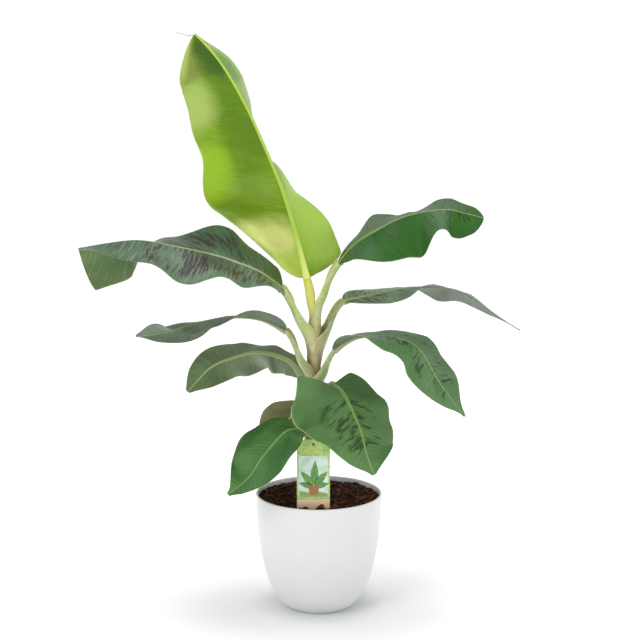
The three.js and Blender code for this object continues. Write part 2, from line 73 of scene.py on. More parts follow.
# Each leaf: the middle line of its blade from base to tip; the way its upper side faces at the
# base and at the tip; for each half, seen by a traveller on the rib, how far it reaches, how far
# it is lifted above the face and how far it curls on (degrees), at equal steps from base to tip;
# the margin's ripple; and the stalk. The list runs from the innermost sheath to the outermost.
LEAVES = {
    "top": {
        "rib": [
            (-20, -6, 580), (-36, -12, 645), (-57, -20, 718), (-80, -27, 778), (-119, -34, 868),
            (-162, -32, 942), (-204, -26, 989),
        ],
        "face": [(0, 1, 0.1), (0, 1, 0.1)],
        "right": {
            "reach": [43, 89, 120, 130, 115, 109, 92, 74],
            "lift": [34, 31, 14, 3, 13, 13, 15, 10],
            "curl": [15] * 8,
        },
        "left": {
            "reach": [90, 84, 107, 112, 104, 93, 38, 8],
            "lift": [36, 42, 76, 90, 96, 82, 66, 70],
            "curl": [10] * 8,
        },
        "ripple": {"height": 4, "count": 4, "start": 0.2},
        "ends": {"base": 0.05, "tip": 0.09},
        "stalk": {"foot": 488, "out": 0, "radii": [8, 9, 8.5, 7], "rise": 26, "run": 26},
    },
    "upper_right": {
        "rib": [
            (33, -14, 609), (59, -24, 640), (92, -36, 664), (145, -52, 692), (208, -60, 703),
            (241, -60, 697), (274, -56, 688),
        ],
        "face": [(-0.3, -0.3, 1), (0, -0.3, 1)],
        "right": {
            "reach": [20, 50, 64, 68, 73, 49, 50, 28],
            "lift": [-5, -5, -28, -50, -62, -18, -42, -30],
            "curl": [0, 0, -10, -10, -15, 0, 0, 0],
        },
        "left": {
            "reach": [20, 47, 62, 64, 62, 54, 42, 28],
            "lift": [0, -5, 4, -12, -22, -2, 0, 10],
            "curl": [0] * 8,
        },
        "ripple": {"height": 3, "count": 3.4, "start": 0.4},
        "ends": {"base": 0.1, "tip": 0.06},
        "stalk": {"foot": 430, "out": 0, "radii": [13, 15, 11, 8], "rise": 112, "run": 46},
    },
    "upper_left": {
        "rib": [
            (-60, -29, 566), (-96, -48, 596), (-138, -66, 616), (-173, -82, 630), (-236, -110, 648),
            (-298, -130, 660), (-387, -140, 648),
        ],
        "face": [(0.2, -0.45, 1), (0.2, -0.45, 1)],
        "right": {
            "reach": [48, 56, 76, 78, 78, 80, 90, 98],
            "lift": [5, 2, 16, -9, -14, -46, -70, -82],
            "curl": [0, 0, 0, 0, -10, -50, -20, 0],
        },
        "left": {
            "reach": [38, 56, 74, 77, 82, 72, 54, 40],
            "lift": [10, 8, 2, -2, -10, -2, 8, 20],
            "curl": [0, 0, 0, 0, 0, 0, 5, 10],
        },
        "ripple": {"height": 8, "count": 3.45, "start": 0.92},
        "ends": {"base": 0.035, "tip": 0.03},
        "stalk": {"foot": 420, "out": 2, "radii": [13, 15, 12, 8.5], "rise": 60, "run": 30},
    },
    "right": {
        "rib": [
            (43, 14, 539), (97, 31, 548), (154, 44, 557), (212, 56, 557), (256, 62, 545),
            (310, 62, 508), (354, 58, 480),
        ],
        "face": [(0, -0.2, 1), (0, -0.2, 1)],
        "right": {
            "reach": [20, 40, 48, 50, 48, 46, 32, 8],
            "lift": [0, -2, -4, 24, 14, 19, 20, 10],
            "curl": [0] * 8,
        },
        "left": {
            "reach": [24, 40, 50, 52, 52, 46, 32, 8],
            "lift": [12, -4, -18, -18, -38, -30, -26, -30],
            "curl": [0, 0, 0, -10, -20, -15, -10, 0],
        },
        "ripple": {"height": 2, "count": 3, "start": 0.3},
        "ends": {"base": 0.07, "tip": 0.3},
        "stalk": {"foot": 396, "out": 2, "radii": [12, 13.5, 9.5, 7], "rise": 77, "run": 20},
    },
    "left": {
        "rib": [
            (-55, -16, 492), (-97, -4, 510), (-146, 10, 512), (-197, 20, 503), (-260, 26, 484),
            (-318, 26, 474),
        ],
        "face": [(0, -0.2, 1), (0, -0.2, 1)],
        "right": {
            "reach": [18, 40, 52, 54, 58, 76, 60, 14],
            "lift": [-20, -24, -15, -12, -12, 23, 26, -6],
            "curl": [0, 0, -10, -20, -45, -140, -140, -60],
        },
        "left": {
            "reach": [20, 36, 46, 48, 48, 46, 36, 12],
            "lift": [58, 40, 18, 0, -4, 15, 48, 60],
            "curl": [20, 10, 10, 0, 0, 0, 0, 0],
        },
        "ripple": {"height": 2.5, "count": 3.4, "start": 0.6},
        "ends": {"base": 0.08, "tip": 0.11},
        "stalk": {"foot": 366, "out": 2, "radii": [12, 14, 9.5, 6.5], "rise": 42, "run": 20},
    },
    "front_right": {
        "rib": [
            (27, -24, 460), (56, -40, 482), (85, -54, 490), (132, -78, 490), (169, -95, 472),
            (202, -105, 417), (243, -104, 362),
        ],
        "face": [(0, -0.3, 1), (0.7, -0.7, 0.6)],
        "right": {
            "reach": [18, 40, 60, 74, 63, 51, 40, 12],
            "lift": [35, 32, 24, 15, 5, -5, 8, 10],
            "curl": [10, 5, 0, 0, 0, 0, 5, 20],
        },
        "left": {
            "reach": [18, 38, 50, 58, 62, 54, 38, 10],
            "lift": [10, -14, -18, -15, -18, -9, 5, 0],
            "curl": [0] * 8,
        },
        "ripple": {"height": 2.5, "count": 4, "start": 0.1},
        "ends": {"base": 0.12, "tip": 0.22},
        "stalk": {"foot": 340, "out": 2, "radii": [12, 13.5, 9, 6.5], "rise": 62, "run": 20},
    },
    "back_left": {
        "rib": [
            (-29, 14, 403), (-54, 27, 431), (-105, 50, 441), (-151, 74, 427), (-194, 92, 405),
            (-236, 98, 360),
        ],
        "face": [(0.1, 0.9, 0.5), (0, 1, 0.4)],
        "right": {
            "reach": [14, 38, 52, 57, 56, 50, 34, 12],
            "lift": [10, 5, 8, 12, 10, 8, 5, 0],
            "curl": [10, 10, 10, 10, 10, 10, 10, 0],
        },
        "left": {
            "reach": [18, 29, 37, 42, 46, 44, 29, 14],
            "lift": [75, 95, 104, 104, 94, 70, 42, 15],
            "curl": [10, 10, 10, 10, 10, 5, 0, 0],
        },
        "ripple": {"height": 3, "count": 4, "start": 0.5},
        "ends": {"base": 0.1, "tip": 0.13},
        "stalk": {"foot": 330, "out": 4, "radii": [10, 11, 8.5, 6.5], "rise": 50, "run": 20},
    },
    "front": {
        "rib": [
            (23, -50, 404), (39, -66, 396), (52, -84, 377), (70, -108, 339), (80, -120, 300),
            (92, -122, 266),
        ],
        "face": [(0, -0.6, 1), (0.15, -1, 0.2)],
        "right": {
            "reach": [104, 104, 100, 92, 84, 63, 33, 10],
            "lift": [44, 18, -5, 5, 15, 25, 30, 20],
            "curl": [0] * 8,
        },
        "left": {
            "reach": [38, 64, 80, 84, 80, 72, 62, 20],
            "lift": [8, -17, -22, -28, -32, -32, -25, -10],
            "curl": [0, -5, -10, -10, -10, -10, -10, 0],
        },
        "ripple": {"height": 2.5, "count": 3, "start": 0.3},
        "ends": {"base": 0.028, "tip": 0.2},
        "stalk": {"foot": 330, "out": 4, "radii": [10, 10, 8, 6.5], "rise": 46, "run": 20},
    },
    "back": {
        "rib": [
            (-34, 16, 361), (-45, 30, 338), (-61, 48, 308), (-72, 62, 276), (-77, 70, 250),
        ],
        "face": [(-0.3, 0.8, 0.5), (-0.2, 1, 0.2)],
        "right": {
            "reach": [24, 38, 46, 48, 46, 38, 26, 8],
            "lift": [10, 5, 5, 5, 5, 5, 5, 0],
            "curl": [0] * 8,
        },
        "left": {
            "reach": [28, 43, 49, 48, 44, 37, 26, 8],
            "lift": [5, 5, 5, 5, 5, 5, 5, 0],
            "curl": [10, 10, 10, 10, 10, 10, 10, 0],
        },
        "ripple": {"height": 2, "count": 2.5, "start": 0.1},
        "ends": {"base": 0.14, "tip": 0.24},
        "stalk": {"foot": 318, "out": 6, "radii": [9, 7, 5.5, 5], "rise": 30, "run": 8},
    },
    "front_left": {
        "rib": [
            (-31, -42, 326), (-58, -58, 323), (-95, -86, 287), (-119, -100, 254), (-152, -108, 228),
        ],
        "face": [(0, -0.6, 1), (0, -1, 0.3)],
        "right": {
            "reach": [36, 54, 64, 68, 67, 56, 37, 8],
            "lift": [-10, -15, -20, -24, -30, -32, -28, -20],
            "curl": [0, -5, -5, -5, -5, -5, 0, 0],
        },
        "left": {
            "reach": [34, 54, 62, 64, 60, 50, 32, 8],
            "lift": [30, 30, 30, 32, 36, 42, 45, 30],
            "curl": [0, 5, 5, 5, 5, 5, 5, 0],
        },
        "ripple": {"height": 2.5, "count": 2.5, "start": 0.2},
        "ends": {"base": 0.12, "tip": 0.26},
        "stalk": {"foot": 262, "out": 2, "radii": [9, 9, 7.5, 6], "rise": 34, "run": 14},
    },
}

# ---- rules of the plant's growth ------------------------------------------------------------


def smooth(value, low, high):
    """0 below low, 1 above high, and an even S between them."""
    t = min(max((value - low) / (high - low), 0), 1)
    return t * t * (3 - 2 * t)


def mix(a, b, share):
    return a + (b - a) * share


def along(values, s):
    """The value at share s of a list that runs evenly from 0 to 1, joined by smooth curves."""
    last = len(values) - 1
    i = min(int(s * last), last - 1)
    t = s * last - i
    a, b, c, d = (values[min(max(k, 0), last)] for k in (i - 1, i, i + 1, i + 2))
    bend = (2 * a - 5 * b + 4 * c - d) * t**2 + (3 * b - a - 3 * c + d) * t**3
    return 0.5 * (2 * b + (c - a) * t + bend)


class Line:
    """A smooth line that is read by its length: line.at(s) and line.ahead(s)."""

    def __init__(self, rule, steps=240):
        self.rule = rule
        points = [rule(k / steps) for k in range(steps + 1)]
        self.lengths = [0.0]
        for before, after in zip(points, points[1:]):
            self.lengths.append(self.lengths[-1] + (after - before).length)
        self.steps = steps
        self.length = self.lengths[-1]

    def share(self, s):
        goal = min(max(s, 0), 1) * self.length
        low, high = 0, self.steps
        while high - low > 1:
            middle = (low + high) // 2
            low, high = (middle, high) if self.lengths[middle] <= goal else (low, middle)
        span = self.lengths[high] - self.lengths[low]
        return (low + (goal - self.lengths[low]) / span) / self.steps

    def at(self, s):
        return self.rule(self.share(s))

    def ahead(self, s, reach=0.002):
        t = self.share(s)
        return (self.rule(min(t + reach, 1)) - self.rule(max(t - reach, 0))).normalized()


def rib_line(leaf):
    points = [Vector(p) for p in leaf["rib"]]
    return Line(lambda t: along(points, t))


def upright(face, ahead):
    """The way up: as near to face as it can be, square to the line."""
    return (face - ahead * face.dot(ahead)).normalized()


def outline_share(s, ends):
    """The share of its full reach that a half has at s: a round shoulder, a drawn-out tip."""
    base = 1 - min(s / ends["base"], 1)
    tip = 1 - min((1 - s) / ends["tip"], 1)
    return math.sqrt(1 - base * base) * (1 - tip * tip) ** TIP_POWER


def stem_radius(z):
    return along(STEM["radii"], min(max((z - SOIL_TOP) / (STEM["top"] - SOIL_TOP), 0), 1))


def stem_at(z):
    share = (z - SOIL_TOP) / (STEM["top"] - SOIL_TOP)
    return Vector((STEM["x"] + STEM["lean"] * share, 0, z))


# ---- meshes by operator ---------------------------------------------------------------------


def finish_piece(name, bm, materials, node, slot):
    """The mesh becomes a piece that rides on the plant and, where node is given, stands for it."""
    mesh = bpy.data.meshes.new(name)
    bm.to_mesh(mesh)
    bm.free()
    mesh.shade_smooth()
    for material in materials:
        mesh.materials.append(material)
    piece = bpy.data.objects.new(name, mesh)
    bpy.context.scene.collection.objects.link(piece)
    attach(piece, BODY)
    if node:
        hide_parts(node)
    return piece


def shell(across, steps, rule, maps):
    """A closed thin shell over a square of (x, y) from -1 to 1, outer side and inner side.

    rule(x, y, inner) places a point. maps(x, y) gives its place on each of the piece's UV maps.
    Faces of the outer side have material 0, and of the inner side material 1.
    """
    bm = bmesh.new()
    bmesh.ops.create_grid(bm, x_segments=across, y_segments=steps, size=1)
    layers = [bm.loops.layers.uv.new(name) for name in ("Span", "Share", "Rib")]
    for face in bm.faces:
        for loop in face.loops:
            for layer, place in zip(layers, maps(loop.vert.co.x, loop.vert.co.y)):
                loop[layer].uv = place
    grown = bmesh.ops.extrude_face_region(bm, geom=bm.faces[:])["geom"]
    inner_verts = {part for part in grown if isinstance(part, bmesh.types.BMVert)}
    for part in grown:
        if isinstance(part, bmesh.types.BMFace):
            part.material_index = 1
    for vert in bm.verts:
        x, y = vert.co.x, vert.co.y
        vert.co = rule(x, y, vert in inner_verts) * MM
    bmesh.ops.recalc_face_normals(bm, faces=bm.faces[:])
    return bm


# ---- materials ------------------------------------------------------------------------------


def srgb(code):
    """An sRGB hex colour as linear RGBA."""
    parts = [int(code[i:i + 2], 16) / 255 for i in (1, 3, 5)]
    linear = [c / 12.92 if c <= 0.04045 else ((c + 0.055) / 1.055) ** 2.4 for c in parts]
    return (*linear, 1)


def fill(tree, node, inputs):
    """Sets or links a node's inputs: a dict goes by name, a list by the order they show in."""
    by_name = isinstance(inputs, dict)
    sockets = node.inputs if by_name else [socket for socket in node.inputs if socket.enabled]
    for key, value in inputs.items() if by_name else enumerate(inputs):
        if isinstance(value, bpy.types.NodeSocket):
            tree.links.new(value, sockets[key])
        else:
            sockets[key].default_value = srgb(value) if isinstance(value, str) else value


def add(tree, kind, inputs=(), **settings):
    """Adds a shader node with its settings and links, and gives the first output it shows."""
    node = tree.nodes.new("ShaderNode" + kind)
    for key, value in settings.items():
        setattr(node, key, value)
    fill(tree, node, inputs)
    return next(socket for socket in node.outputs if socket.enabled)


SOFT = {"interpolation_type": "SMOOTHSTEP"}  # a range that rises in an even S
RGBA = {"data_type": "RGBA"}


def lay(tree, colour, *coats):
    """Lays coats of colour over one another. Each has the value that it follows, from where to
    where that runs, the coat's share at either end, and its own colour."""
    for value, low, high, first, last, over in coats:
        share = add(tree, "MapRange", [value, low, high, first, last], **SOFT)
        colour = add(tree, "Mix", [share, colour, over], **RGBA)
    return colour


def new_material(name):
    material = bpy.data.materials.new(name)
    material.use_nodes = True
    tree = material.node_tree
    return material, tree, tree.nodes["Principled BSDF"]


def mould_white_plastic():
    """Injection-moulded polypropylene: clean white, a soft satin sheen, a faint orange peel."""
    material, tree, shader = new_material("white_polypropylene_satin")
    place = add(tree, "TexCoord").node.outputs["Object"]
    peel_mm, cloud_mm = 1.6, 60
    cloud = add(tree, "TexNoise", [place, 1 / (cloud_mm * MM), 3])
    peel = add(tree, "TexNoise", [place, 1 / (peel_mm * MM), 1])
    fill(tree, shader, {
        "Base Color": lay(tree, "#e2e2e3", (cloud, 0.3, 0.7, 0, 1, "#e0e0e1")),
        "Roughness": add(tree, "MapRange", [cloud, 0.3, 0.7, 0.34, 0.37], **SOFT),
        "Normal": add(tree, "Bump", {"Height": peel, "Strength": 0.05, "Distance": 0.1 * MM}),
        "IOR": 1.49,
        # a thin wall lets some light through, so the shaded inside is pale too
        "Subsurface Weight": 0.35, "Subsurface Radius": (1, 1, 1), "Subsurface Scale": 6 * MM,
    })
    return material


def mould_peat(name, dark, light, crumb_mm):
    """Moist peat and composted bark: red-brown on the crumbs' tops, and nearly black between them,
    partly the peat's own dark and partly painted shade in the gaps.
    """
    material, tree, shader = new_material(name)
    place = add(tree, "TexCoord").node.outputs["Object"]
    crumbs = add(tree, "TexNoise", [place, 1 / (crumb_mm * MM), 5, 0.65])
    fibres = add(tree, "TexNoise", [place, 4 / (crumb_mm * MM), 3, 0.6])
    height = add(tree, "Math", [fibres, 0.4, crumbs], operation="MULTIPLY_ADD")
    fill(tree, shader, {
        # painted shade: the colour follows the bump's noise, so the low gaps between crumbs are
        # darkened
        "Base Color": lay(
            tree, dark, (crumbs, 0.38, 0.66, 0, 1, light), (fibres, 0.6, 0.75, 0, 0.35, "#8a5c38"),
        ),
        "Roughness": add(tree, "MapRange", [fibres, 0.3, 0.7, 0.7, 0.95], **SOFT),
        "Normal": add(tree, "Bump", {"Height": height, "Strength": 0.8, "Distance": 1.2 * MM}),
        "Specular IOR Level": 0.25,
    })
    return material


def print_ink(name, code, second=None, blotch_mm=6):
    """Offset-printed polyester card: flat inks under a clear film, so a crisp soft gloss."""
    material, tree, shader = new_material(name)
    place = add(tree, "TexCoord").node.outputs["Object"]
    patch = add(tree, "TexNoise", [place, 1 / (blotch_mm * MM), 4, 0.6])
    fill(tree, shader, {
        "Base Color": lay(tree, code, (patch, 0.4, 0.62, 0, 1, second or code)),
        "Roughness": add(tree, "MapRange", [patch, 0.2, 0.8, 0.36, 0.44], **SOFT),
        "IOR": 1.5,
    })
    return material


VEIN_SLANT = 0.42  # how far a side vein runs towards the tip for each millimetre across
VEIN_STEP_MM = 4.6  # real ones are 1 mm apart: drawn coarser, so that they show
FINE_VEIN_SHARE = 0.37  # of that step, for the finer veins between them
STREAK_MM, SPREAD_MM, WANDER_MM = 5, 55, 9


def blade_places(tree):
    """On a blade: metres across, the side veins' own coordinate, the shares across and along."""
    across, run, _ = add(tree, "SeparateXYZ", [add(tree, "UVMap", uv_map="Span")]).node.outputs
    side, s, _ = add(tree, "SeparateXYZ", [add(tree, "UVMap", uv_map="Share")]).node.outputs
    out = add(tree, "Math", [across], operation="ABSOLUTE")
    vein = add(tree, "Math", [out, -VEIN_SLANT, run], operation="MULTIPLY_ADD")
    return across, vein, side, s


def ripple_veins(tree, at, step_mm):
    """A wave across the side veins, one to each step."""
    turns = add(tree, "Math", [at, TAU / (step_mm * MM)], operation="MULTIPLY")
    return add(tree, "Math", [turns], operation="SINE")


def lay_patch(tree, colour, cloud, places, patch):
    """A soft cloud of colour that stays on its own half of the blade. Palettes use such clouds for the
    leaf's own tones and for painted sheen, light and shade.
    """
    side, s = places
    to_side, to_s, wide, long, code, strength = patch
    aside = add(tree, "Math", [side, -to_side], operation="ADD")
    aside = add(tree, "Math", [aside, 1 / wide], operation="MULTIPLY")
    off = add(tree, "Math", [s, -to_s], operation="ADD")
    off = add(tree, "Math", [off, 1 / long], operation="MULTIPLY")
    off = add(tree, "Math", [off, off], operation="MULTIPLY")
    far = add(tree, "Math", [aside, aside, off], operation="MULTIPLY_ADD")
    uneven = add(tree, "Math", [cloud, 2.2], operation="MULTIPLY")
    far = add(tree, "Math", [far, uneven], operation="ADD")
    shown = add(tree, "MapRange", [far, 1.0, 2.6, strength, 0], **SOFT)
    halves = [float(to_side < 0), float(to_side >= 0)]
    own_half = add(tree, "MapRange", [side, -0.02, 0.02, *halves], **SOFT)
    share = add(tree, "Math", [shown, own_half], operation="MULTIPLY")
    return add(tree, "Mix", [share, colour, code], **RGBA)


def lay_blotches(tree, colour, skin, places):
    """Dark flecks drawn out along the veins, fewer near the margin and away from blotch_at."""
    across, vein, margin, s, cloud_at = places
    long_mm, wide_mm = skin["blotch_size"]
    flecks_at = add(tree, "CombineXYZ", [
        add(tree, "Math", [across, 1 / (long_mm * MM)], operation="MULTIPLY"),
        add(tree, "Math", [vein, 1 / (wide_mm * MM)], operation="MULTIPLY"),
        skin["seed"] * 3.7,
    ])
    flecks = add(tree, "TexNoise", {
        "Vector": flecks_at, "Scale": 1.0, "Detail": 5, "Roughness": 0.62, "Distortion": 0.4,
    })
    spread = add(tree, "TexNoise", [cloud_at, 1 / (SPREAD_MM * MM), 2, 0.5])
    chance = add(tree, "Math", [spread, 0.5, flecks], operation="MULTIPLY_ADD")
    if "blotch_at" in skin:
        middle, reach = skin["blotch_at"]
        off = add(tree, "Math", [s, -middle], operation="ADD")
        off = add(tree, "Math", [off], operation="ABSOLUTE")
        fewer = add(tree, "MapRange", [off, reach * 0.6, reach, 0, 0.3], **SOFT)
        chance = add(tree, "Math", [chance, fewer], operation="SUBTRACT")
    least = 0.9 - 0.12 * skin["amount"]
    shown = add(tree, "MapRange", [chance, least, least + 0.09, 0, 0.9], **SOFT)
    limit = skin["blotch_side"]
    inside = add(tree, "MapRange", [margin, limit - 0.25, limit, 1, 0.1], **SOFT)
    share = add(tree, "Math", [shown, inside], operation="MULTIPLY")
    return add(tree, "Mix", [share, colour, skin["blotch"]], **RGBA)


def grow_blade_skin(name, skin):
    """A living banana leaf's skin: waxy satin, fine side veins square to a pale rib.

    skin is a palette: see there for what it holds.
    """
    material, tree, shader = new_material(name)
    across, vein, side, s = blade_places(tree)
    margin = add(tree, "Math", [side], operation="ABSOLUTE")
    cloud_at = add(tree, "CombineXYZ", [across, vein, skin["seed"]])
    cloud = add(tree, "TexNoise", [cloud_at, 1 / (skin["cloud_mm"] * MM), 3, 0.55])

    # streaks along the veins, a few millimetres wide and a few centimetres long
    drawn_out = add(tree, "Math", [across, 0.12], operation="MULTIPLY")
    streak_at = add(tree, "CombineXYZ", [drawn_out, vein, skin["seed"] * 0.1 + 4])
    streak = add(tree, "TexNoise", [streak_at, 1 / (STREAK_MM * MM), 3, 0.6])
    colour = lay(
        tree, skin["base"], (cloud, 0.36, 0.64, 0, 1, skin["second"]),
        (streak, 0.42, 0.72, 0, skin["streak"], skin["vein"]),
    )

    wander = add(tree, "Math", [cloud, WANDER_MM * MM, vein], operation="MULTIPLY_ADD")
    wave = ripple_veins(tree, wander, VEIN_STEP_MM)
    fine = ripple_veins(tree, wander, VEIN_STEP_MM * FINE_VEIN_SHARE)
    crests = add(tree, "MapRange", [wave, 0.2, 1.0, 0, skin["line"]], **SOFT)
    line = add(tree, "Math", [crests, streak], operation="MULTIPLY")
    colour = add(tree, "Mix", [line, colour, skin["vein"]], **RGBA)

    if "tip" in skin:
        tip_from, tip_share = skin["tip_range"]
        colour = lay(tree, colour, (s, tip_from, 1.0, 0, tip_share, skin["tip"]))
    # soft clouds: the leaf's own tones, and painted sheen, light and shade
    for patch in skin["patches"]:
        colour = lay_patch(tree, colour, cloud, (side, s), patch)
    if "blotch" in skin:
        colour = lay_blotches(tree, colour, skin, (across, vein, margin, s, cloud_at))

    # the rib is pale, and at its base it has the stalk's own colour
    rib_out = add(tree, "SeparateXYZ", [add(tree, "UVMap", uv_map="Rib")])
    width = skin["rib_width"]
    rib_share = add(tree, "MapRange", [rib_out, 0.7 * width, 1.2 * width, 1, 0], **SOFT)
    rib_colour = lay(tree, skin["root"], (s, 0.0, 0.22, 0, 1, skin["rib"]))
    colour = add(tree, "Mix", [rib_share, colour, rib_colour], **RGBA)
    colour = lay(tree, colour, (margin, 0.972, 0.992, 0, 1, skin["edge"]))
    # a tint over the whole; on the young top leaf it also paints the glow of light through the leaf
    colour = add(tree, "Mix", [1.0, colour, skin["sap"]], blend_type="MULTIPLY", **RGBA)

    relief = add(tree, "Math", [fine, 0.35, wave], operation="MULTIPLY_ADD")
    relief = add(tree, "Math", [streak, 1.5, relief], operation="MULTIPLY_ADD")
    off_rib = add(tree, "MapRange", [rib_share, 0.2, 0.9, 1, 0], **SOFT)
    relief = add(tree, "Math", [relief, off_rib], operation="MULTIPLY")
    rough = skin["rough"]
    fill(tree, shader, {
        "Base Color": colour,
        "Roughness": add(tree, "MapRange", [cloud, 0.3, 0.7, rough - 0.05, rough + 0.08], **SOFT),
        "Normal": add(tree, "Bump", {"Height": relief, "Strength": 0.35, "Distance": 0.25 * MM}),
        "IOR": 1.4,
        "Specular IOR Level": 0.3,
    })
    return material


def grow_stalk_skin(name, skin):
    """A leaf stalk's waxy skin: long fine fibres, a pale bloom, and a thin dry margin.

    Along the piece the colour runs from foot to top, with a pink-brown flush low down.
    """
    material, tree, shader = new_material(name)
    fibre_mm, cloud_mm = 1.4, 22
    span = add(tree, "UVMap", uv_map="Span")
    across, run, _ = add(tree, "SeparateXYZ", [span]).node.outputs
    side, height, _ = add(tree, "SeparateXYZ", [add(tree, "UVMap", uv_map="Share")]).node.outputs
    margin = add(tree, "Math", [side], operation="ABSOLUTE")
    drawn_out = add(tree, "Math", [run, 0.06], operation="MULTIPLY")
    fibre_at = add(tree, "CombineXYZ", [across, drawn_out])
    fibres = add(tree, "TexNoise", [fibre_at, 1 / (fibre_mm * MM), 3, 0.6])
    cloud = add(tree, "TexNoise", [span, 1 / (cloud_mm * MM), 3, 0.6])

    colour = lay(
        tree, skin["foot"], (height, 0.45, 0.75, 0, 1, skin["top"]),
        (cloud, 0.42, 0.62, 0, 0.55, skin["bloom"]),
    )
    low = add(tree, "MapRange", [height, 0.36, 0.62, skin["flush_share"], 0], **SOFT)
    uneven = add(tree, "MapRange", [cloud, 0.35, 0.6, 1, 0.2], **SOFT)
    flushed = add(tree, "Math", [low, uneven], operation="MULTIPLY")
    colour = add(tree, "Mix", [flushed, colour, skin["flush"]], **RGBA)
    colour = lay(
        tree, colour, (fibres, 0.5, 0.75, 0, 0.3, skin["fibre"]),
        (margin, 0.91, 0.95, 0, 0.8, skin["edge"]),
    )
    outermost = add(tree, "MapRange", [margin, 0.97, 0.985], **SOFT)
    patchy = add(tree, "MapRange", [cloud, 0.4, 0.55], **SOFT)
    dry = add(tree, "Math", [outermost, patchy], operation="MULTIPLY")
    dry = add(tree, "Math", [dry, 0.8], operation="MULTIPLY")
    fill(tree, shader, {
        "Base Color": add(tree, "Mix", [dry, colour, "#8c5a3c"], **RGBA),
        "Roughness": add(tree, "MapRange", [fibres, 0.3, 0.7, 0.42, 0.56], **SOFT),
        "Normal": add(tree, "Bump", {"Height": fibres, "Strength": 0.3, "Distance": 0.3 * MM}),
        "Specular IOR Level": 0.4,
    })
    return material


def grow_stem_skin():
    """The stem's foot: old sheaths gone woody, red-brown and buff in long dry fibres."""
    material, tree, shader = new_material("old_sheath_fibrous")
    fibre_mm, cloud_mm = 2, 25
    place = add(tree, "TexCoord").node.outputs["Object"]
    x, y, z = add(tree, "SeparateXYZ", [place]).node.outputs
    drawn_out = add(tree, "Math", [z, 0.08], operation="MULTIPLY")
    fibre_at = add(tree, "CombineXYZ", [x, y, drawn_out])
    fibres = add(tree, "TexNoise", [fibre_at, 1 / (fibre_mm * MM), 4, 0.65])
    cloud = add(tree, "TexNoise", [place, 1 / (cloud_mm * MM), 3, 0.6])
    fill(tree, shader, {
        "Base Color": lay(
            tree, "#6f4630", (cloud, 0.35, 0.65, 0, 1, "#93684a"), (z, 0.30, 0.40, 0, 1, "#8a6246"),
            (fibres, 0.5, 0.72, 0, 0.7, "#4a2a1c"),
        ),
        "Normal": add(tree, "Bump", {"Height": fibres, "Strength": 0.6, "Distance": 0.8 * MM}),
        "Roughness": 0.75,
    })
    return material


# ---- the pot and its soil -------------------------------------------------------------------


def pot_radius(z):
    share = 1 - (1 - z / POT["height"]) ** POT_BELLY["lower"]
    return POT["foot"] + (POT["rim"] - POT["foot"]) * share ** POT_BELLY["upper"]


def spin_profile(profile, steps):
    """Turns a line of (radius, height) points, from axis to axis, into a closed round body."""
    bm = bmesh.new()
    verts = [bm.verts.new((r * MM, 0, z * MM)) for r, z in profile]
    for before, after in zip(verts, verts[1:]):
        bm.edges.new((before, after))
    bmesh.ops.spin(
        bm, geom=bm.verts[:] + bm.edges[:], axis=(0, 0, 1), cent=(0, 0, 0), angle=TAU,
        steps=steps, use_merge=True,
    )
    bmesh.ops.remove_doubles(bm, verts=bm.verts[:], dist=1e-6)
    bmesh.ops.recalc_face_normals(bm, faces=bm.faces[:])
    return bm


def make_pot(plastic):
    height, wall, floor, lip = POT["height"], POT["wall"], POT["floor"], POT["lip"]
    inward, upward, recess = FOOT["inward"], FOOT["upward"], FOOT["recess"]
    rows = 40
    ring = [
        (0, recess), (POT["foot"] - FOOT["ring_inner"], recess), (POT["foot"] - FOOT["ring_outer"], 0),
    ]
    edge = [
        (POT["foot"] - inward + inward * math.sin(a), upward - upward * math.cos(a))
        for a in (0, 0.4, 0.8, 1.2)
    ]
    levels = [upward + (height - lip - upward) * (k / rows) ** 1.25 for k in range(rows + 1)]
    outside = [(pot_radius(z), z) for z in levels]
    rim = [
        (POT["rim"] - lip + lip * math.cos(a), height - lip + lip * math.sin(a))
        for a in (math.pi * k / 8 for k in range(1, 8))
    ]
    inside = [(pot_radius(z) - wall, z) for z in reversed(levels) if z > floor + 3]
    bottom = [(pot_radius(floor) - wall - 8, floor), (0, floor)]
    bm = spin_profile([*ring, *edge, *outside, *rim, *inside, *bottom], POT_STEPS)
    return finish_piece("pot_shell", bm, [plastic], "pot", "pot_plastic")


def soil_height(x, y):
    """Crumbly soil: low humps, small lumps, and level ground round the stem."""
    away = math.hypot(x - STEM["x"], y)
    humps = math.sin(x * 0.19 + 1) * math.cos(y * 0.23) + 0.6 * math.sin(x * 0.07 - y * 0.11)
    lumps = noise.fractal(Vector((x, y, 3)) / SOIL["lump_size"], 0.9, 2.1, 4)
    return SOIL_TOP + SOIL["hump"] * humps * smooth(away, 30, 52) + SOIL["lump"] * lumps - 0.6


def make_soil(peat):
    rings, sides = 56, 180
    edge = pot_radius(SOIL_TOP) - POT["wall"] - SOIL["gap"]
    under = SOIL_TOP - SOIL["depth"]
    surface = [(edge * k / rings, SOIL_TOP) for k in range(rings + 1)]
    bm = spin_profile([*surface, (edge - SOIL["taper"], under), (0, under)], sides)
    for vert in bm.verts:
        x, y, z = vert.co / MM
        if z > SOIL_TOP - 1:
            vert.co.z = soil_height(x, y) * MM
    bmesh.ops.recalc_face_normals(bm, faces=bm.faces[:])
    return finish_piece("soil_bed", bm, [peat], "soil", "potting_soil")


